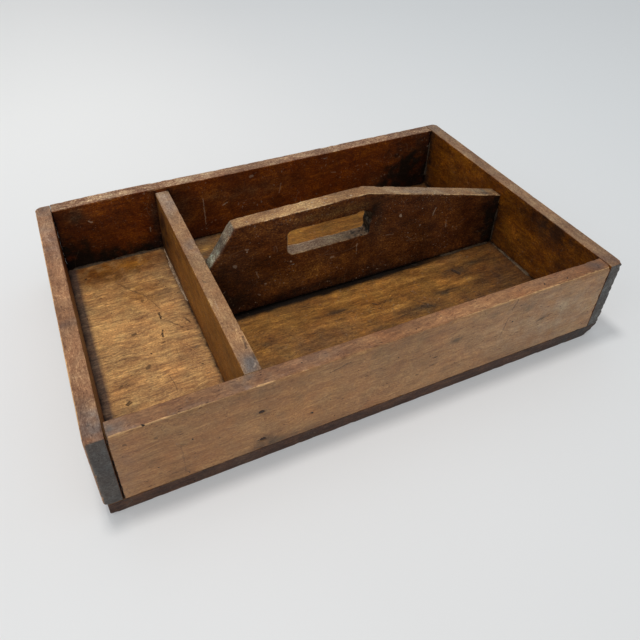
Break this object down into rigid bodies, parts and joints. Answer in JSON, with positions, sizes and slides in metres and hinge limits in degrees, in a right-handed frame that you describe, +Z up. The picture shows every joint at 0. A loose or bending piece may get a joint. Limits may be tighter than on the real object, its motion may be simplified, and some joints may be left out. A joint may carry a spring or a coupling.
{
  "type": "tool storage caddy",
  "caption": "Open wooden tool tray with low nailed walls, a cross divider and a lengthwise carrying board with a hand hole.",
  "frame": {"origin": "the middle of the footprint, on the surface that the tray stands on", "axes": "+X along the tray towards its right end, +Y towards the back, +Z up"},
  "size_m": [0.46, 0.292, 0.1155],
  "materials": {
    "front_wood": "worn satin",
    "back_wood": "worn satin",
    "left_end_wood": "worn satin",
    "right_end_wood": "worn satin",
    "floor_wood": "worn satin",
    "divider_wood": "worn satin",
    "handle_wood": "worn satin",
    "nail_iron": "rusty, rough",
    "old_glue": "dull, rough"
  },
  "bodies": {
    "root": {"back_board": "back_wood", "back_corner_glue": "old_glue", "back_to_divider_nails": "nail_iron", "base_board": "floor_wood", "base_to_back_nails": "nail_iron", "base_to_divider_nails": "nail_iron", "base_to_front_nails": "nail_iron", "base_to_left_end_nails": "nail_iron", "base_to_right_end_nails": "nail_iron", "cross_divider": "divider_wood", "front_board": "front_wood", "front_to_divider_nails": "nail_iron", "handle_board": "handle_wood", "handle_corner_glue": "old_glue", "handle_foot_glue": "old_glue", "left_back_glue": "old_glue", "left_divider_glue": "old_glue", "left_end_board": "left_end_wood", "left_end_to_back_nails": "nail_iron", "left_end_to_front_nails": "nail_iron", "right_end_board": "right_end_wood", "right_end_glue": "old_glue", "right_end_to_back_nails": "nail_iron", "right_end_to_front_nails": "nail_iron", "right_end_to_handle_nails": "nail_iron"}
  },
  "joints": []
}
